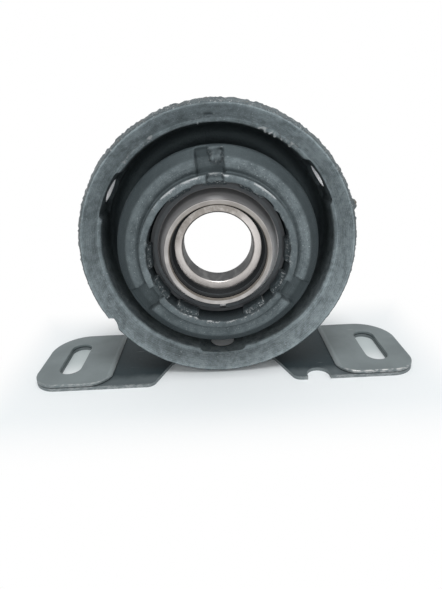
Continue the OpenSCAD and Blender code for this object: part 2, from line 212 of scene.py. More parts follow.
# Satin grey paint over pressed sheet, rubbed through to bare steel where the mask is high
platePaintLook = dict(
    film=(0.150, 0.176, 0.182),
    dusty=(0.190, 0.222, 0.228),
    steel=(0.600, 0.600, 0.590),
    rubbed=0.75,
    edge=(0.250, 0.285, 0.292),     # painted highlight along the rolled inner edge
    edgeHighlightTo=(61.0, 62.6),            # mm from the middle
    seamShade=(0.012, 0.015, 0.016),     # painted shade where the two sheets meet
    seamShadeBelow=(-65.75, -65.45),     # mm, heights
    gloss=(0.90, 0.98, 1.0, 1),
)
strapPaintLook = dict(
    # the strap's film is painted darker than the plates' film: painted shade, as the strap's web lies under
    # the ring
    film=(0.070, 0.086, 0.092),
    dusty=(0.100, 0.118, 0.125),
    steel=(0.460, 0.470, 0.470),
    rubbed=0.70,
    underRingShade=(0.010, 0.018, 0.022),    # painted shade under the ring
    underRingShadeFrom=(-19.5, -12.5),       # mm along the shaft
    cut=(0.165, 0.185, 0.190),      # cut edges, thinly painted
    cutBelow=(-66.10, -66.02),      # mm, just under the top side
    wornFront=(-23.4, -22.6),       # the front edge, mm along the shaft
    wornOuter=(99.2, 100.3),        # the feet's outer rims, mm from the middle
    gloss=(0.70, 0.93, 1.0, 1),
)
paintGrain = dict(worn=1.1, cloud=22, peel=0.9, scratch=2.2, shadeWobble=8)  # blotch sizes, mm


def paintFinish(name, look, wearMask):
    finish, place = startFinish(name)
    size = paintGrain
    worn = wearMask(place) * place.noise(size["worn"], 4, 0.7, (0.45, 1, 1)).ease(0.44, 0.56) * look["rubbed"]
    worn = worn.maths("MINIMUM", worn, 1.0)
    cloud = place.noise(size["cloud"], 4).ease(0.30, 0.70)
    peel = place.noise(size["peel"], 3, 0.6)
    scratch = place.noise(size["scratch"], 2, 0.6, (0.16, 1, 1)).ease(0.68, 0.76)
    film = cloud.blend(look["film"], look["dusty"])
    # painted shade under the ring, with a wobbled edge
    if "underRingShade" in look:
        shadeWobble = place.noise(size["shadeWobble"], 3, 0.6) * 5 - 2.5
        film = (place.axis("Y") + shadeWobble).ease(*look["underRingShadeFrom"]).blend(film, look["underRingShade"])
    if "cut" in look:
        film = place.axis("Z").fall(*look["cutBelow"]).blend(film, look["cut"])
    # painted highlight along the plates' rolled inner edge
    if "edge" in look:
        film = abs(place.axis("X")).fall(*look["edgeHighlightTo"]).blend(film, look["edge"])
    film = (scratch * 0.15).blend(film, look["steel"])
    # painted shade where the two sheets meet, with no wear shown in it
    if "seamShade" in look:
        seamShade = place.axis("Z").fall(*look["seamShadeBelow"])
        film, worn = seamShade.blend(film, look["seamShade"]), worn * (1 - seamShade)
    endFinish(place, {
        "Base Color": worn.blend(film, look["steel"]),
        "Specular IOR Level": 0.30,
        "Specular Tint": look["gloss"],
        "Metallic": worn * 0.6,
        "Roughness": 0.46 + peel * 0.16 - worn * 0.12,
        "Normal": (peel * 0.7 - worn * 0.6).bump(0.05, 0.5),
    })
    return finish


# Turned or ground steel: fine rings round the shaft axis, one mask for a duller coat and one for a brown
# tint, which holds painted shadow, painted reflection and etched marks
brownTint = (0.130, 0.112, 0.090)


def turnedFinish(name, bright, dull, rough, lineSize, metal=1.0, coatMask=None, tintMask=None):
    finish, place = startFinish(name)
    radius = radiusOf(place)
    rings = (radius + place.axis("Y") * 0.7).lines(lineSize, 3)
    smear = place.noise(7, 4).ease(0.35, 0.70)
    colour = (smear * 0.4 + rings.ease(0.25, 0.75) * 0.6).blend(dull, bright)
    if tintMask:
        colour = tintMask(place, radius).blend(colour, brownTint)
    roughness = rough + rings * 0.14 + smear * 0.08
    sockets = {"Metallic": metal}
    if coatMask:
        coated, coat, coatMetal = coatMask(place, radius)
        colour = coated.blend(colour, coat)
        roughness = roughness + coated * 0.20
        sockets["Metallic"] = metal + coated * (coatMetal - metal)
    endFinish(place, sockets | {
        "Base Color": colour,
        "Roughness": roughness,
        "Normal": rings.bump(0.02, 0.5),
    })
    return finish


# Black seal rubber with faint turned marks, and two painted highlight lines where its funnel meets the last
# rib
sealLook = dict(
    dark=(0.003, 0.004, 0.005),
    pale=(0.085, 0.095, 0.100),
    rings=0.35, cloud=5,            # sizes, mm
    ribs=((-12.3, (0.12, 0.34), 1.0), (-13.4, (0.06, 0.24), 0.4)),  # mm along the shaft, soft edge, strength
)


def sealFinish(name, look):
    finish, place = startFinish(name)
    rings = radiusOf(place).lines(look["rings"], 2)
    cloud = place.noise(look["cloud"], 3)
    along = place.axis("Y")
    tone = cloud * 0.1 + rings.ease(0.56, 0.66) * 0.3
    # painted highlights along the rib crests
    for at, edge, strength in look["ribs"]:
        tone = tone + abs(along - at).fall(*edge) * strength
    endFinish(place, {
        "Base Color": tone.blend(look["dark"], look["pale"]),
        "Specular IOR Level": 0.14,
        "Roughness": 0.36 + cloud * 0.2,
        "Normal": rings.bump(0.03, 0.5),
    })
    return finish


def strapWear(place):  # the strap's front edge and the rims of its feet
    front = place.axis("Y").fall(*strapPaintLook["wornFront"])
    outer = abs(place.axis("X")).ease(*strapPaintLook["wornOuter"])
    return front.maths("MAXIMUM", front * 0.55, outer * 0.6)


def plateWear(place):  # the plates' own rounded edges, marked on the mesh
    return mark(place, "wear")


# Where the steel pieces carry a coat or a brown tint, painted shade among them: radii in mm, and distances
# across the axis in mm
coatLook = dict(
    shellFrom=(64.6, 64.8), shellPaint=(0.085, 0.100, 0.106),
    coneFrom=(25.55, 25.75), coneMetal=0.32,
    conePale=(0.900, 0.895, 0.900), coneShade=(0.480, 0.472, 0.476),
    coneWay=(-0.5, 0.87), coneTurn=(-16, 4),            # painted shade towards the upper left
    footFrom=(27.3, 28.3), foot=(0.240, 0.236, 0.240),
    faceTo=(25.10, 25.25), faceEdge=(23.4, 23.9),
    faceWay=(0.5, 0.87), faceTurn=(-14, 14),            # darker towards the upper right
    ringTo=(22.6, 22.9), ringBlotch=2.5,
    ringWay=(-0.34, 0.94), ringTurn=(5, 14),            # etched marks and a painted reflection at the top
    boreTo=(17.6, 18.0), boreBlotch=5, boreMetal=0.9,
    boreDark=(0.085, 0.088, 0.090), borePale=(0.190, 0.190, 0.188),
)


def shellMask(place, radius):  # outside of the shell is painted, inside is bare
    return radius.ease(*coatLook["shellFrom"]), coatLook["shellPaint"], 0.0


def shieldMask(place, radius):  # the cone behind the bright face is phosphated, with painted shade towards the upper left, deepest on its foot
    k = coatLook
    shadedUpperLeft = towards(place, k["coneWay"]).ease(*k["coneTurn"])
    cone = shadedUpperLeft.blend(k["conePale"], k["coneShade"])
    foot = radius.ease(*k["footFrom"]) * shadedUpperLeft
    return radius.ease(*k["coneFrom"]), foot.blend(cone, k["foot"]), k["coneMetal"]


def shieldDarkening(place, radius):  # a part of the bright face darker towards the upper right, and painted shadow all along its inner edge, in the gap to the inner ring
    k = coatLook
    face = towards(place, k["faceWay"]).ease(*k["faceTurn"]) * radius.fall(*k["faceTo"]) * 0.45
    return face.maths("MAXIMUM", face, radius.fall(*k["faceEdge"]) * 0.9)


def ringEtchAndReflection(place, radius):  # a brown film on the upper part of the inner ring's face: its etched marks and a painted brown reflection
    k = coatLook
    patch = place.noise(k["ringBlotch"], 3, 0.6).ease(0.25, 0.60) * 0.35 + 0.34
    return patch * towards(place, k["ringWay"]).ease(*k["ringTurn"]) * radius.fall(*k["ringTo"])


def boreMask(place, radius):  # the wall of the shaft hole is darker, in smears
    k = coatLook
    smear = place.noise(k["boreBlotch"], 3, 0.6, (1, 0.3, 1)).ease(0.40, 0.72)
    return radius.fall(*k["boreTo"]), smear.blend(k["boreDark"], k["borePale"]), k["boreMetal"]


steels = dict(
    shellSteel=dict(bright=(0.90, 0.91, 0.92), dull=(0.74, 0.75, 0.76), rough=0.42, lineSize=0.8,
                    metal=0.1, coatMask=shellMask),
    shieldSteel=dict(bright=(0.58, 0.565, 0.55), dull=(0.30, 0.29, 0.285), rough=0.24, lineSize=0.60,
                     coatMask=shieldMask, tintMask=shieldDarkening),
    ringSteel=dict(bright=(0.82, 0.785, 0.76), dull=(0.58, 0.555, 0.535), rough=0.28, lineSize=0.45,
                   coatMask=boreMask, tintMask=ringEtchAndReflection),
    ballSteel=dict(bright=(0.80, 0.81, 0.82), dull=(0.70, 0.71, 0.72), rough=0.08, lineSize=0.5),
    pressedSteel=dict(bright=(0.52, 0.52, 0.52), dull=(0.38, 0.38, 0.39), rough=0.34, lineSize=0.6),
    springSteel=dict(bright=(0.130, 0.145, 0.155), dull=(0.062, 0.070, 0.076), rough=0.42, lineSize=0.4,
                     metal=0.3),
    sleeveCoat=dict(bright=(0.085, 0.092, 0.098), dull=(0.040, 0.044, 0.048), rough=0.42, lineSize=0.5,
                    metal=0.0),
)
rubber = rubberFinish(rubberLook)
strapPaint = paintFinish("strapPaint", strapPaintLook, strapWear)
platePaint = paintFinish("platePaint", platePaintLook, plateWear)
steel = {name: turnedFinish(name, **look) for name, look in steels.items()}
sealBlack = sealFinish("sealBlack", sealLook)
print("finishes made")


def dress(finish, *names):  # a solid keeps its mesh and takes a finish
    for name in names:
        solids[name].data.materials.clear()
        solids[name].data.materials.append(finish)


dress(strapPaint, "mounting_strap", "weld_beads")
dress(steel["shellSteel"], "outer_shell")
dress(steel["sleeveCoat"], "inner_sleeve")
dress(steel["springSteel"], "retaining_ring")
dress(steel["ringSteel"], "bearing_inner_ring", "bearing_outer_ring")
dress(steel["shieldSteel"], "front_dust_shield")
dress(sealBlack, "front_seal", "rear_seal")
dress(steel["pressedSteel"], "front_seal_insert", "rear_seal_insert",
      "cage_front_half", "cage_rear_half", "cage_rivets")
dress(steel["ballSteel"], *[name for name in solids if name.startswith("ball_")])
print("solids dressed")


def smooth(value):  # 0 to 1 with flat ends
    value = np.clip(value, 0, 1)
    return value * value * (3 - 2 * value)


def past(value, edge):  # 0 up to the edge's place, 1 once its soft run is over
    return smooth((value - edge[0]) / edge[1])


def shortOf(value, edge):  # the same, going the other way
    return smooth((edge[0] - value) / edge[1])


def hump(value, middle, width, power=2):  # 1 at the middle, falling off to both sides
    return np.exp(-((value - middle) / width) ** power)


def lumpy(x, y, z, size, seed):  # smooth random heights from -1 to 1, on a lattice of that size
    rng = np.random.default_rng(seed)
    table = rng.uniform(-1, 1, 4096)
    cells = [np.floor(v / size).astype(int) for v in (x, y, z)]
    parts = [smooth(v / size - c) for v, c in zip((x, y, z), cells)]
    total = 0
    for i in (0, 1):
        for j in (0, 1):
            for k in (0, 1):
                index = ((cells[0] + i) * 1619 + (cells[1] + j) * 31337 + (cells[2] + k) * 6971) % 4096
                weight = ((parts[0] if i else 1 - parts[0]) * (parts[1] if j else 1 - parts[1])
                          * (parts[2] if k else 1 - parts[2]))
                total = total + table[index] * weight
    return total


def softLoop(stations):
    # Closed section: each corner (r, y, rounding, steps, zone) becomes a short quadratic curve,
    # and the straight run to the next corner is split into so many steps
    corner = np.array([s[:2] for s in stations], float)
    count = len(stations)
    points, zones = [], []
    for i, (r, y, rounding, steps, zone) in enumerate(stations):
        here, before, after = corner[i], corner[i - 1], corner[(i + 1) % count]
        inward, onward = before - here, after - here
        cut = min(rounding, 0.45 * np.linalg.norm(inward), 0.45 * np.linalg.norm(onward))
        start = here + inward / np.linalg.norm(inward) * cut
        end = here + onward / np.linalg.norm(onward) * cut
        bends = np.linspace(0, 1, 3) if rounding > 0 else np.array([0.5])
        curve = [(1 - t) ** 2 * start + 2 * t * (1 - t) * here + t * t * end for t in bends]
        nextRound = stations[(i + 1) % count][2]
        nextCut = min(nextRound, 0.45 * np.linalg.norm(onward),
                      0.45 * np.linalg.norm(corner[(i + 2) % count] - after))
        goal = after - onward / np.linalg.norm(onward) * nextCut
        run = [curve[-1] + (goal - curve[-1]) * k / steps for k in range(1, steps)]
        points += curve + run
        zones += [zone] * (len(curve) + len(run))
    return np.array(points), np.array(zones)


def torusFaces(rows, columns):  # quads of a grid that closes on itself both ways
    i, j = np.meshgrid(np.arange(rows), np.arange(columns), indexing="ij")
    here, after = i * columns, (i + 1) % rows * columns
    nextJ = (j + 1) % columns
    return np.stack([here + j, after + j, after + nextJ, here + nextJ], -1).reshape(-1, 4)


def makePiece(name, points, faces, finish, **marks):  # the marks are values kept on the mesh's points
    corners = points[faces]
    volume = np.einsum("ij,ij->i", corners[:, 0], np.cross(corners[:, 1], corners[:, 2])).sum()
    volume += np.einsum("ij,ij->i", corners[:, 0], np.cross(corners[:, 2], corners[:, 3])).sum()
    if volume < 0:  # turn the faces outwards
        faces = faces[:, ::-1]
    mesh = bpy.data.meshes.new(name)
    mesh.from_pydata((points * mm).tolist(), [], faces.tolist())
    mesh.polygons.foreach_set("use_smooth", np.ones(len(faces), bool))
    for label, values in marks.items():
        mesh.attributes.new(label, "FLOAT", "POINT").data.foreach_set("value", values.astype(np.float32))
    mesh.materials.append(finish)
    piece = bpy.data.objects.new(name, mesh)
    scene.collection.objects.link(piece)
    return piece


# Rubber cushion: a section (radius, place along the shaft) carried round the axis and changed by angle
cushion = dict(                     # mm; degrees anticlockwise from the right, as seen from the front
    angles=530,
    lipAndCollar=(                  # corners: radius, along the shaft, rounding, steps to the next, zone
        (33.0, 9.0, 0.3, 2, 0), (33.0, -5.0, 0.3, 1, 0), (33.8, -5.8, 0.3, 15, 1),
        (33.8, -21.6, 0.7, 3, 1), (36.8, -21.6, 1.0, 4, 1), (37.2, -15.6, 0.8, 3, 1),
        (39.8, -16.5, 1.2, 4, 1), (43.6, -16.8, 1.1, 6, 1), (48.9, -11.4, 1.0, 2, 1),
        (48.9, -8.4, 1.2, 5, 1), (46.5, 4.0, 1.5, 3, 1)),
    rimAndBand=(
        (60.0, -4.7, 0.5, 9, 3), (65.4, -12.8, 0.7, 1, 3), (66.5, -12.2, 0.7, 3, 4),
        (67.4, -9.5, 0.8, 10, 4), (67.4, -2.0, 0.6, 1, 4), (66.0, -2.0, 0, 1, 0), (66.3, -4.2, 0, 1, 0)),
    backCorner=(41.0, 11.0, 2.0, 3, 5),
    turnMiddle=(52.25, 16.0), turnRadius=5.75, membrane=4.0,
    turnArc=(180, 20, 9), backArc=(40, 140, 8),         # first angle, last angle, corners
    liningRadius=58.0, liningFrom=16.0, liningTo=-3.5, liningSteps=24, liningRound=0.9,
    bondRadius=64.0, bondFront=-4.2, bondBack=20.0,     # the side that is bonded to the shell
    lipTo=37.3,
    lipInside=34,
    paintedLightByAngle=dict(               # painted light and shade round the ring: level, swing, angle it swings to, change low down
        collar=(0.86, 0.24, 45, 0),
        lip=(0.86, -0.12, 20, -0.25),
        lining=(1, 0, 0, 0.6),
        rim=(0.96, 0.12, 350, 0),
    ),
    darkPatch=dict(rim=(0.35, 95, 20), band=(0.4, 108, 28)),  # painted shade at the top of the rim face, where it faces down, and the outer band darker at the top: depth, angle, width
    groove=dict(reach=(36.9, 39.8), soft=(0.4, 0.6), front=-14, pale=0.08, patch=(0.14, 40, 28)),
    glint=dict(at=(36.4, -21.3), width=(0.8, 0.9), above=(0.45, 0.35), even=0.75, uneven=0.9, size=1.8,
               pale=0.5, worn=1.4),
    notch=dict(at=(92.6, 210, 330), width=12.5, soft=0.8, reach=(37.0, 47.6), floor=-11.5, press=0.99,
               shade=0.55),
    block=dict(notch=92.6, side=2.9, half=2.6, soft=1.2, start=40.8, slope=1.8, ragged=0.9, height=2.0,
               crumb=0.7, pale=0.22, mottle=0.12, outline=3),
    lipGap=dict(at=(90, 210, 330), width=7.5, soft=0.7, floor=-14.0, press=0.98, shade=0.35),
    pad=dict(spread=30, width=11.6, soft=0.9, height=2.0, uneven=0.12, low=-18.8, high=-10.2, lead=2.0,
             backSoft=0.5, shade=0.5, outline=4, tip=(0.8, 1.1), tipWear=0.6),
    lipFray=dict(at=(33.8, -21.4), width=(0.8, 0.9), depth=1.1, worn=0.7, lowWear=0.95),
    window=dict(at=(30.5, 152, 270), radius=6.75, y=9.0, floor=63.7,
                pierced=(30.5, 152),    # these go on through the shell
                snap=0.48,              # points this near the edge are moved onto it
                pocketWidth=23.5, pocketSoft=2.6, pocketRadius=59.7, pocketBack=14.0, backSoft=1.2),
    rough=dict(broad=(4.5, 0.10), fine=(1.7, 0.05), band=(1.0, 0.22)),  # size, height
    freeTo=63.6,                    # past this radius the lining and the back lie on steel and stay smooth
    flash=dict(y=-7.5, width=1.5, height=0.9, above=(-0.62, 0.3), coarse=(1.4, 0.30), fine=(0.8, 0.50),
               mean=0.72, worn=0.60, wornAbove=(-0.1, 0.5)),
    flap=dict(at=16.0, spread=2.0, y=-8.5, width=1.0, height=1.6, worn=0.5),
    rimFray=dict(y=-4.7, width=0.9, arcs=((60, 14, 3), (97, 3, 2)), depth=1.1, worn=1.5),  # angle, half, soft
    rimLine=dict(y=-4.9, width=0.6, arcs=((127, 12, 4, 0.78), (118, 2, 1, 0.4))),          # and strength
    dent=dict(at=91.5, spread=2.0, y=-7.0, width=0.8, depth=1.2, shade=0.95),
    tear=dict(at=(210.5, 219.0), soft=0.6, radius=(64.2, 67.2), start=1.5, ragged=0.5),
)
# how pale each part of the section is; the lining's level and its fall towards the back are painted light and
# shade in the gap
rubbedAndShadeLevel = dict(lip=0.40, collar=0.46, sides=0.05, hidden=0.02, lining=0.62, liningFall=0.48, rim=0.95,
                   band=0.33, back=0.25)
rubbedAndShadeEdge = dict(lip=(-19.5, 1.5), inner=(38.4, 1.6), outer=(43.9, 0.7), front=(-15.0, 1.0),
                  fade=(-4, 16), lining=57)             # place and soft run, mm


def cushionSection(c):
    # Corners of a closed line: up the lip, over the collar, round the membrane's turn, along the lining,
    # over the rim and the outer band, and back along the shell and behind the membrane.
    # Zones: 0 hidden, 1 lip and collar, 2 lining, 3 rim face, 4 outer band, 5 back
    midR, midY = c["turnMiddle"]

    def bend(radius, arc, zone):  # corners on an arc round the turn's middle
        return [(midR + radius * math.cos(a), midY + radius * math.sin(a), 0, 1, zone)
                for a in np.radians(np.linspace(*arc))]

    lining, bond, rounding = c["liningRadius"], c["bondRadius"], c["liningRound"]
    bonded = np.linspace(c["liningTo"], c["liningFrom"], c["liningSteps"] + 1)[1:]
    return softLoop([
        *c["lipAndCollar"],
        *bend(c["turnRadius"], c["turnArc"], 2),
        (lining, c["liningFrom"], 0, c["liningSteps"], 2),
        (lining, c["liningTo"] - rounding, rounding, 1, 2),
        *c["rimAndBand"],
        (bond, c["bondFront"], 0, 1, 0),
        *[(bond, y, 0, 1, 0) for y in bonded],
        (bond, c["bondBack"], 0, 2, 5),
        *bend(c["turnRadius"] + c["membrane"], c["backArc"], 5),
        c["backCorner"],
    ])


def rubbedAndShadeTone(r, y, zone):
    # How pale the rubber is along the section: lip face, collar face and rim face are rubbed, the lining is
    # painted paler at its front and fades towards the back, painted light and shade in the gap, the rest is
    # dark
    k, edge = rubbedAndShadeLevel, rubbedAndShadeEdge
    lip = shortOf(y, edge["lip"]) * k["lip"]
    face = past(r, edge["inner"]) * shortOf(r, edge["outer"]) * shortOf(y, edge["front"]) * k["collar"]
    tone = np.where(zone == 1, k["sides"] + lip + face, k["hidden"])
    fading = k["lining"] - k["liningFall"] * past(y, edge["fade"])
    tone = np.where((zone == 2) & (r > edge["lining"]), fading, tone)
    for number, name in ((3, "rim"), (4, "band"), (5, "back")):
        tone = np.where(zone == number, k[name], tone)
    return tone


def pierce(faces, opened, front, back):
    # Cells wholly inside an opening go from the front skin and the back skin, and a wall joins the two rims
    rows, columns = opened.shape
    inside = opened[:, front]
    after = np.roll(inside, -1, 0)
    gone = inside[:, :-1] & inside[:, 1:] & after[:, :-1] & after[:, 1:]
    i, k = np.nonzero(gone)
    kept = np.ones((rows, columns), bool)
    kept[i, front[k]] = False
    kept[i, back[k + 1]] = False
    padded = np.pad(gone, ((0, 0), (1, 1)))
    parts = [faces[kept.reshape(-1)]]
    corner = ((0, 0), (1, 0), (1, 1), (0, 1))
    beyond = ((0, -1), (1, 0), (0, 1), (-1, 0))  # the cell past each side, in the order of the corners
    for side, (stepI, stepK) in enumerate(beyond):
        rim = ~padded[(i + stepI) % rows, k + stepK + 1]
        (startI, startK), (endI, endK) = corner[side], corner[(side + 1) % 4]
        start, end = (i[rim] + startI) % rows * columns, (i[rim] + endI) % rows * columns
        startK, endK = k[rim] + startK, k[rim] + endK
        wall = [start + front[startK], end + front[endK], end + back[endK], start + back[startK]]
        parts.append(np.stack(wall, -1))
    return np.vstack(parts)


class Skin:  # the cushion's points while they are shaped: a row per angle, a column per section point
    def __init__(self, c):
        section, self.zone = cushionSection(c)
        rows = c["angles"]
        self.sectionR, self.sectionY = section[:, 0][None], section[:, 1][None]
        self.radius, self.along = np.repeat(self.sectionR, rows, 0), np.repeat(self.sectionY, rows, 0)
        turn = np.linspace(0, 2 * np.pi, rows, endpoint=False)[:, None]
        self.turn = np.repeat(turn, len(section), 1)
        self.degrees, self.upward = np.degrees(self.turn), np.sin(self.turn)
        zones = [(self.zone == k)[None] for k in range(1, 6)]
        self.collar, self.lining, self.face, self.band, self.back = zones
        self.bloomAndPaintedLight = np.repeat(rubbedAndShadeTone(section[:, 0], section[:, 1], self.zone)[None], rows, 0)
        self.wear = np.zeros_like(self.radius)

    def across(self, centre):  # distance sideways from the radial line at that angle, large behind it
        offset = self.turn - math.radians(centre)
        return np.where(np.cos(offset) > 0, self.radius * np.sin(offset), 1e3)

    def strip(self, centre, width, soft):  # 1 along that radial line, 0 outside the width
        return smooth((width / 2 - np.abs(self.across(centre))) / soft + 0.5)

    def arc(self, centre, half, soft):  # 1 within an arc, 0 outside it
        return smooth((half - np.abs(self.degrees - centre)) / soft)

    def above(self, start, run):  # 0 low on the ring, 1 high on it
        return smooth((self.upward - start) / run)

    def near(self, at, width):  # 1 at that point of the collar's section
        return hump(self.sectionR, at[0], width[0]) * hump(self.sectionY, at[1], width[1]) * self.collar

    def ripple(self, size, seed):  # random heights along the lip
        return lumpy(30 * self.turn, self.along, 0 * self.along, size, seed)

    def crumble(self, size, seed):  # random heights on the collar's front
        return lumpy(self.radius, 40 * self.turn, 0 * self.along, size, seed)

    def fixPlaces(self):  # later random heights go by the places the points have now
        self.x, self.z = self.radius * np.cos(self.turn), self.radius * np.sin(self.turn)

    def rough(self, size, seed, squash=1.0):  # random heights over the surface
        return lumpy(self.x, self.along * squash, self.z, size, seed)


def toneSkin(s, c):  # painted light and shade on the sides of the ring, the groove by the lip, a painted highlight on the lip's rim
    onLip = s.collar & (s.sectionR < c["lipTo"])
    areas = dict(collar=s.collar & ~onLip, lip=onLip, lining=s.lining, rim=s.face, band=s.band)
    # painted light and shade: each part paler or darker by its angle round the ring, and low down
    for area, (level, swing, at, low) in c["paintedLightByAngle"].items():
        tone = level + swing * np.cos(s.turn - math.radians(at)) + low * smooth(-s.upward)
        s.bloomAndPaintedLight = s.bloomAndPaintedLight * np.where(areas[area], tone, 1)
    # painted shade at the top of the rim face; the outer band darker at the top
    for area, (depth, at, width) in c["darkPatch"].items():
        s.bloomAndPaintedLight = s.bloomAndPaintedLight * np.where(areas[area], 1 - depth * hump(s.degrees, at, width), 1)
    k = c["groove"]
    (first, last), (rise, fall) = k["reach"], k["soft"]
    groove = smooth((s.sectionR - first) / rise) * smooth((last - s.sectionR) / fall)
    strength, at, width = k["patch"]
    pale = k["pale"] + strength * hump(s.degrees, at, width)
    s.bloomAndPaintedLight = s.bloomAndPaintedLight + groove * (s.sectionY < k["front"]) * s.collar * pale
    # a painted highlight along the lip's outer rim, marked as paleness and as torn skin so that it shows pale
    k = c["glint"]
    glint = s.above(*k["above"]) * np.clip(k["even"] + k["uneven"] * s.ripple(k["size"], 53), 0, 1)
    glint = glint * s.near(k["at"], k["width"])
    s.bloomAndPaintedLight = s.bloomAndPaintedLight + k["pale"] * glint
    s.wear = s.wear + k["worn"] * glint


def cutNotches(s, c):  # the collar is pressed back to a floor; one notch holds a rough block on its right
    k, b = c["notch"], c["block"]
    for a in k["at"]:
        inside = (s.radius > k["reach"][0]) & (s.radius < k["reach"][1]) & s.collar
        deep = s.strip(a, k["width"], k["soft"]) * inside
        s.along = s.along + deep * np.maximum(k["floor"] - s.along, 0) * k["press"]
        s.bloomAndPaintedLight = s.bloomAndPaintedLight * (1 - k["shade"] * deep)
        if a == b["notch"]:
            ragged = b["ragged"] * s.crumble(1.2, 44)
            block = smooth((b["half"] + ragged - np.abs(s.across(a) + b["side"])) / b["soft"] + 0.5) * deep
            block = block * smooth((s.radius - b["start"] - ragged) / b["slope"])
            crumb = s.crumble(1.0, 41)
            s.along = s.along - block * (b["height"] + b["crumb"] * crumb)
            s.bloomAndPaintedLight = s.bloomAndPaintedLight + block * (b["pale"] + b["mottle"] * crumb)
            s.wear = s.wear + block * (1 - block) * b["outline"]


def cutLip(s, c):  # the lip is cut down in a narrower gap at each notch, and pads stand on its inner side
    k, p = c["lipGap"], c["pad"]
    inner = (s.sectionR < c["lipInside"]) & s.collar
    depth = np.clip((s.sectionY - p["low"]) / p["lead"], 0, 1)
    depth = depth * smooth((p["high"] - s.sectionY) / p["backSoft"] + 0.5)
    tip, tipWidth = p["tip"]
    for a in k["at"]:
        gap = s.strip(a, k["width"], k["soft"]) * (s.radius <= c["notch"]["reach"][0]) * s.collar
        bottom = np.where(inner, p["low"], k["floor"])
        s.along = s.along + gap * np.maximum(bottom - s.along, 0) * k["press"]
        s.bloomAndPaintedLight = s.bloomAndPaintedLight * (1 - k["shade"] * gap)
        for step in (-1, 0, 1):
            side = s.strip(a + step * p["spread"], p["width"], p["soft"])
            pad = side * depth * inner
            s.radius = s.radius - p["height"] * pad * (1 + p["uneven"] * s.ripple(1.5, 43))
            s.bloomAndPaintedLight = s.bloomAndPaintedLight * (1 - p["shade"] * pad)
            lead = side * inner * hump(s.sectionY, p["low"] + tip, tipWidth)
            s.wear = s.wear + p["outline"] * side * (1 - side) * depth * inner + p["tipWear"] * lead


def frayLip(s, c):  # frayed skin on the lip's inner edge, worst along the bottom
    k = c["lipFray"]
    edge = s.near(k["at"], k["width"])
    torn = np.clip(s.ripple(2.2, 47) + 0.15, 0, 1) * edge
    s.radius = s.radius - k["depth"] * torn
    shred = np.clip(0.55 + s.ripple(1.3, 57), 0, 1)
    s.wear = s.wear + k["worn"] * torn + k["lowWear"] * edge * smooth(-s.upward) * shred


def openWindows(s, c):  # the lining steps out into a pocket, and in the window it goes back into the steel
    k = c["window"]
    opened = np.zeros(s.radius.shape, bool)
    for a in k["at"]:
        side = s.strip(a, k["pocketWidth"], k["pocketSoft"])
        depth = smooth((k["pocketBack"] - s.along) / k["backSoft"] + 0.5)
        s.radius = s.radius + side * depth * np.maximum(k["pocketRadius"] - s.radius, 0) * (s.lining | s.face)
        offset = (s.turn - math.radians(a) + np.pi) % (2 * np.pi) - np.pi
        lengthways = s.along - k["y"]
        far = np.hypot(s.radius * offset, lengthways) + 1e-6
        near = (np.abs(far - k["radius"]) < k["snap"]) & s.lining
        s.turn = np.where(near, s.turn + offset * (k["radius"] / far - 1), s.turn)
        s.along = np.where(near, k["y"] + lengthways * k["radius"] / far, s.along)
        hole = (far < k["radius"]) & ~near & s.lining
        s.radius = np.where(hole, k["floor"], s.radius)
        if a in k["pierced"]:
            opened = opened | hole | near
    return opened


def addFlash(s, c):  # flash with a fine stubble round the outer band, all but low down, and one flap of it
    k, f = c["flash"], c["flap"]
    (coarse, high), (fine, higher) = k["coarse"], k["fine"]
    stubble = k["mean"] + high * s.rough(coarse, 11, 0.4) + higher * s.rough(fine, 12, 0.5)
    upper = s.above(*k["above"])
    ridge = hump(s.along, k["y"], k["width"]) * s.band
    flap = hump(s.degrees, f["at"], f["spread"], 4) * hump(s.along, f["y"], f["width"]) * s.band
    s.wear = s.wear + upper * s.band * s.above(*k["wornAbove"]) * k["worn"] + f["worn"] * flap
    s.radius = s.radius + k["height"] * upper * ridge * stubble + f["height"] * flap


def frayRim(s, c):  # the rim's inner edge: skin frayed on the right and past the top, a pale line on the left
    k, line = c["rimFray"], c["rimLine"]
    fray = sum(s.arc(*arc) for arc in k["arcs"])
    torn = hump(s.sectionY, k["y"], k["width"]) * (s.lining | s.face) * fray
    torn = torn * np.clip(2 * s.rough(1.1, 17) + 0.2, 0, 1)
    s.radius = s.radius - k["depth"] * torn
    pale = sum(strength * s.arc(at, half, soft) for at, half, soft, strength in line["arcs"])
    pale = pale * hump(s.sectionY, line["y"], line["width"]) * (s.lining | s.face)
    s.wear = s.wear + k["worn"] * torn + pale


def dentRim(s, c):  # a short dent in the rim's face at the top
    k = c["dent"]
    dent = hump(s.degrees, k["at"], k["spread"], 4) * hump(s.sectionY, k["y"], k["width"]) * s.face
    s.along = s.along + k["depth"] * dent
    s.bloomAndPaintedLight = s.bloomAndPaintedLight * (1 - k["shade"] * dent)


def tearRim(s, c):  # the tear low on the left: the outer band is missing down to the shell
    k = c["tear"]
    (first, last), (deepest, shallow) = k["at"], k["radius"]
    missing = smooth((s.degrees - first) / k["soft"] + 0.5) * smooth((last - s.degrees) / k["soft"] + 0.5)
    floor = smooth((s.degrees - first - k["start"]) / (last - first - k["start"]))
    floor = deepest + (shallow - deepest) * floor + k["ragged"] * s.rough(1.3, 21, 0.5)
    s.radius = s.radius - missing * (s.band | s.face) * np.maximum(s.radius - floor, 0)


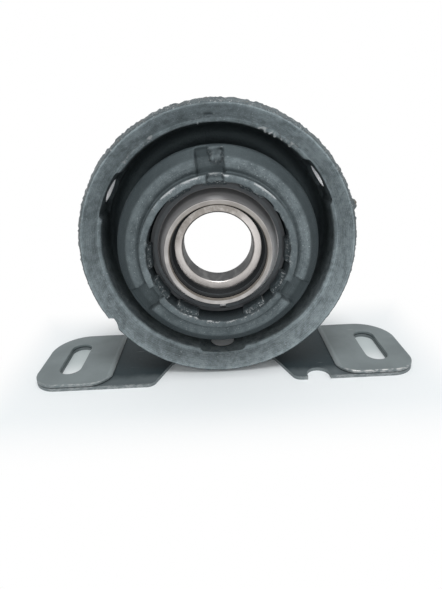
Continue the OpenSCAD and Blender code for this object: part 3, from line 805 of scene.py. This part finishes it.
def cushionSurface(c):
    # Over angle and section point: (radius x cos angle, along, radius x sin angle), where radius and along
    # begin as the section's own and each feature then moves them
    s = Skin(c)
    for shape in (toneSkin, cutNotches, cutLip, frayLip):
        shape(s, c)
    opened = openWindows(s, c)
    steps = c["liningSteps"]
    front = np.flatnonzero((s.zone == 2) & np.isclose(s.sectionR[0], c["liningRadius"]))[:steps]
    back = np.flatnonzero((s.zone == 0) & np.isclose(s.sectionR[0], c["bondRadius"]))[-steps:][::-1]
    s.turn[:, back], s.along[:, back] = s.turn[:, front], s.along[:, front]

    s.fixPlaces()
    (broad, high), (fine, low), (bandSize, bandHigh) = [c["rough"][k] for k in ("broad", "fine", "band")]
    rough = s.rough(broad, 3) * high + s.rough(fine, 4) * low + s.band * s.rough(bandSize, 8) * bandHigh
    free = s.face | s.band | (s.back | s.lining) & (s.radius < c["freeTo"])
    for shape in (addFlash, frayRim, dentRim, tearRim):
        shape(s, c)
    s.radius = s.radius + rough * free
    s.along = s.along + rough * s.collar
    points = np.stack([s.radius * np.cos(s.turn), s.along, s.radius * np.sin(s.turn)], -1).reshape(-1, 3)
    faces = pierce(torusFaces(*s.radius.shape), opened, front, back)
    used, faces = np.unique(faces, return_inverse=True)
    wear, bloomAndPaintedLight = [np.clip(values, 0, 1).reshape(-1)[used] for values in (s.wear, s.bloomAndPaintedLight)]
    return points[used], faces.reshape(-1, 4), dict(wear=wear, bloomAndPaintedLight=bloomAndPaintedLight)


points, faces, marks = cushionSurface(cushion)
cushionPiece = makePiece("rubberCushion", points, faces, rubber, **marks)
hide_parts("rubber_cushion")
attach(cushionPiece, "housing")
print("rubber cushion:", len(faces) * 2, "triangles")


# Foot plate: round its section, from the outer edge over the top to the slot and back underneath
footPlate = dict(
    points=260,
    inner=59.5, outer=100.6, front=-23.5, back=31.5,
    corners=dict(outerFront=13.0, outerBack=20.0, innerFront=11.0, innerBack=3.0),
    slotAt=(83.75, 4.0), slotWidth=11.5, slotLength=33.5,
    low=-66.0, high=-64.0,
    edgeRound=0.5,
    rollRadius=3.0, rollRun=2.83, rollShare=0.97,
    topSteps=(0.03, 0.06, 0.09, 0.12, 0.16, 0.22, 0.32, 0.45, 0.6, 0.75, 0.87, 0.95),
    sideWear=0.5, edgeWear=(0.7, 0.9, 1, 0.8, 0.4), slotWear=0.5, slotSideWear=0.3,
    wornFrom=-19, wornRun=4, wornAll=0.12,      # the front edge is rubbed most
    uneven=0.06, unevenSize=9.0,
)


def cornerArc(x, y, r, start):  # a quarter of a circle round (x, y), from the start angle
    a = np.radians(np.linspace(start, start + 90, 40))
    return np.stack([x + r * np.cos(a), y + r * np.sin(a)], -1)


def evenly(outline, count):  # points at equal steps along a closed line
    closed = np.vstack([outline, outline[:1]])
    run = np.concatenate([[0], np.cumsum(np.hypot(*np.diff(closed, axis=0).T))])
    at = np.linspace(0, run[-1], count, endpoint=False)
    return np.stack([np.interp(at, run, closed[:, 0]), np.interp(at, run, closed[:, 1])], -1)


def plateSurface(p):
    # Over outline point and section point: a straight line goes from each point of the outline towards the
    # slot's middle, up to the slot's edge, and the plate's section is laid along it
    k = p["corners"]
    outline = evenly(np.vstack([
        cornerArc(p["outer"] - k["outerBack"], p["back"] - k["outerBack"], k["outerBack"], 0),
        cornerArc(p["inner"] + k["innerBack"], p["back"] - k["innerBack"], k["innerBack"], 90),
        cornerArc(p["inner"] + k["innerFront"], p["front"] + k["innerFront"], k["innerFront"], 180),
        cornerArc(p["outer"] - k["outerFront"], p["front"] + k["outerFront"], k["outerFront"], 270),
    ]), p["points"])
    middle = np.array(p["slotAt"])
    half, end = p["slotWidth"] / 2, (p["slotLength"] - p["slotWidth"]) / 2
    arcs = np.radians(np.linspace(0, 180, 90))
    slot = np.vstack([
        np.stack([half * np.cos(arcs), end + half * np.sin(arcs)], -1),
        np.stack([-half * np.cos(arcs), -end - half * np.sin(arcs)], -1)])
    slot = evenly(slot, 1200)
    way = np.arctan2(*(outline - middle).T[::-1])  # direction from the slot's middle
    slotWay = np.arctan2(slot[:, 1], slot[:, 0])
    order = np.argsort(slotWay)
    reach = np.interp(way, slotWay[order], np.hypot(*slot.T)[order], period=2 * np.pi)
    inner = middle + reach[:, None] * np.stack([np.cos(way), np.sin(way)], -1)

    e = p["edgeRound"]
    bend = np.radians(np.linspace(0, 90, 5))
    rise, pull = e * np.sin(bend), e * (1 - np.cos(bend))
    thick = p["high"] - p["low"]
    acrossTop = np.array(p["topSteps"])
    span = np.hypot(*(inner - outline).T)[:, None]
    # round the section: distance in from the outer edge, height, wear
    inset = np.concatenate([
        np.zeros((len(outline), 1)),
        np.zeros((len(outline), 1)) + pull[None],
        e + acrossTop[None] * (span - 2 * e),
        span - pull[None, ::-1],
        span,
        span * 0.5], 1)
    height = np.concatenate([
        [p["low"]], p["high"] - e + rise, np.full(len(acrossTop), p["high"]),
        p["high"] - e + rise[::-1], [p["low"]], [p["low"]]])
    edgeWear = np.array(p["edgeWear"])
    worn = np.concatenate([[p["sideWear"]], edgeWear, np.zeros(len(acrossTop)),
                           p["slotWear"] * edgeWear[::-1], [p["slotSideWear"]], [0]])
    share = (inset / span)[..., None]
    flat = outline[:, None] * (1 - share) + inner[:, None] * share
    x, y = flat[..., 0], flat[..., 1]
    z = np.repeat(height[None], len(outline), 0)
    # the inner edge rolls down to the strap on an arc
    gone = np.clip(p["inner"] + p["rollRun"] - x, 0, p["rollRun"])
    drop = p["rollRadius"] - np.sqrt(p["rollRadius"] ** 2 - gone ** 2)
    z = p["low"] + (z - p["low"]) * (1 - drop / thick * p["rollShare"])
    z = z + lumpy(x, y, z, p["unevenSize"], 31) * p["uneven"] * (z > p["low"] + 0.1)
    frontWear = smooth((p["wornFrom"] - y) / p["wornRun"]) * p["rubbed"] + p["wornAll"]
    worn = np.repeat(worn[None], len(outline), 0) * frontWear
    points = np.stack([x, y, z], -1).reshape(-1, 3)
    return points, torusFaces(*x.shape), worn.reshape(-1)


for side, sign, rubbed in (("left", -1, 0.35), ("right", 1, 1.0)):
    points, faces, wear = plateSurface(footPlate | dict(rubbed=rubbed))
    plate = makePiece("footPlate_" + side, points * (sign, 1, 1), faces, platePaint, wear=wear)
    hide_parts("foot_plate_" + side)
    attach(plate, "housing")
print("foot plates made")


# Floor, light and background: the floor runs out into white far from the part
studio = dict(                      # mm, but the lamps in m and W
    floorColour=(0.90, 0.935, 0.95),
    floorZ=-67.9,
    floorSize=6000,
    fade=dict(side=(99, 132), front=(38, 80), back=(32, 84)),
    slotShade=dict(colour=(0.54, 0.60, 0.605),  # where the feet keep the light off, seen through the slots
                   at=(83.75, 4.0), across=(6.5, 8.0), along=(17.5, 19.0), deepening=(-13, 9)),
    skyLevel=0.42,
    lamps=(
        dict(name="topSoftbox", place=(0.05, -0.32, 0.92), size=0.5, power=6.0),
        dict(name="frontFill", place=(-0.10, -0.95, 0.35), size=0.7, power=2.4),
    ),
)


def seenDirectly(root):  # rays from the camera, a mirror or through glass
    path = root.add("ShaderNodeLightPath", {}, {}, "Is Camera Ray")
    for name in ("Is Glossy Ray", "Is Transmission Ray"):
        path = path.maths("MAXIMUM", path, root.add("ShaderNodeLightPath", {}, {}, name))
    return path


def floorFinish(s):
    finish, place = startFinish("paleFloor")
    across, along = abs(place.axis("X")), place.axis("Y")
    colour = place.noise(180, 2).blend([v * 0.985 for v in s["floorColour"]], s["floorColour"])
    k = s["slotShade"]
    slotX, slotY = k["at"]
    shade = abs(across - slotX).fall(*k["across"]) * abs(along - slotY).fall(*k["along"])
    colour = (shade * along.ease(*k["deepening"])).blend(colour, k["colour"])
    matt = place.add("ShaderNodeBsdfPrincipled", {}, {"Base Color": colour, "Roughness": 0.7})
    far = across.ease(*s["fade"]["side"])
    far = far.maths("MAXIMUM", far, (along * -1).ease(*s["fade"]["front"]))
    far = far.maths("MAXIMUM", far, along.ease(*s["fade"]["back"]))
    white = place.add("ShaderNodeEmission", {}, {"Color": (1, 1, 1, 1), "Strength": 1.0})
    surface = place.add("ShaderNodeMixShader", {}, {0: far * seenDirectly(place), 1: matt, 2: white})
    place.add("ShaderNodeOutputMaterial", {}, {"Surface": surface})
    return finish


def addFloor(s):
    half, z = s["floorSize"] / 2, s["floorZ"]
    corners = ((-half, -half), (half, -half), (half, half), (-half, half))
    mesh = bpy.data.meshes.new("paleFloor")
    mesh.from_pydata([(x * mm, y * mm, z * mm) for x, y in corners], [], [(0, 1, 2, 3)])
    mesh.materials.append(floorFinish(s))
    floor = bpy.data.objects.new("paleFloor", mesh)
    scene.collection.objects.link(floor)


def addLight(s):
    world = bpy.data.worlds.new("studioWorld")
    scene.world = world
    world.use_nodes = True
    world.node_tree.nodes.clear()
    root = Wire(world.node_tree, None)
    strength = seenDirectly(root) * (1 - s["skyLevel"]) + s["skyLevel"]
    sky = root.add("ShaderNodeBackground", {}, {"Color": (1, 1, 1, 1), "Strength": strength})
    root.add("ShaderNodeOutputWorld", {}, {"Surface": sky})
    for lamp in s["lamps"]:
        data = bpy.data.lights.new(lamp["name"], "AREA")
        data.size = lamp["size"]
        data.energy = lamp["power"]
        light = bpy.data.objects.new(lamp["name"], data)
        scene.collection.objects.link(light)
        light.location = Vector(lamp["place"])
        light.rotation_euler = (-Vector(lamp["place"])).to_track_quat("-Z", "Y").to_euler()


addFloor(studio)
addLight(studio)
print("studio lit")
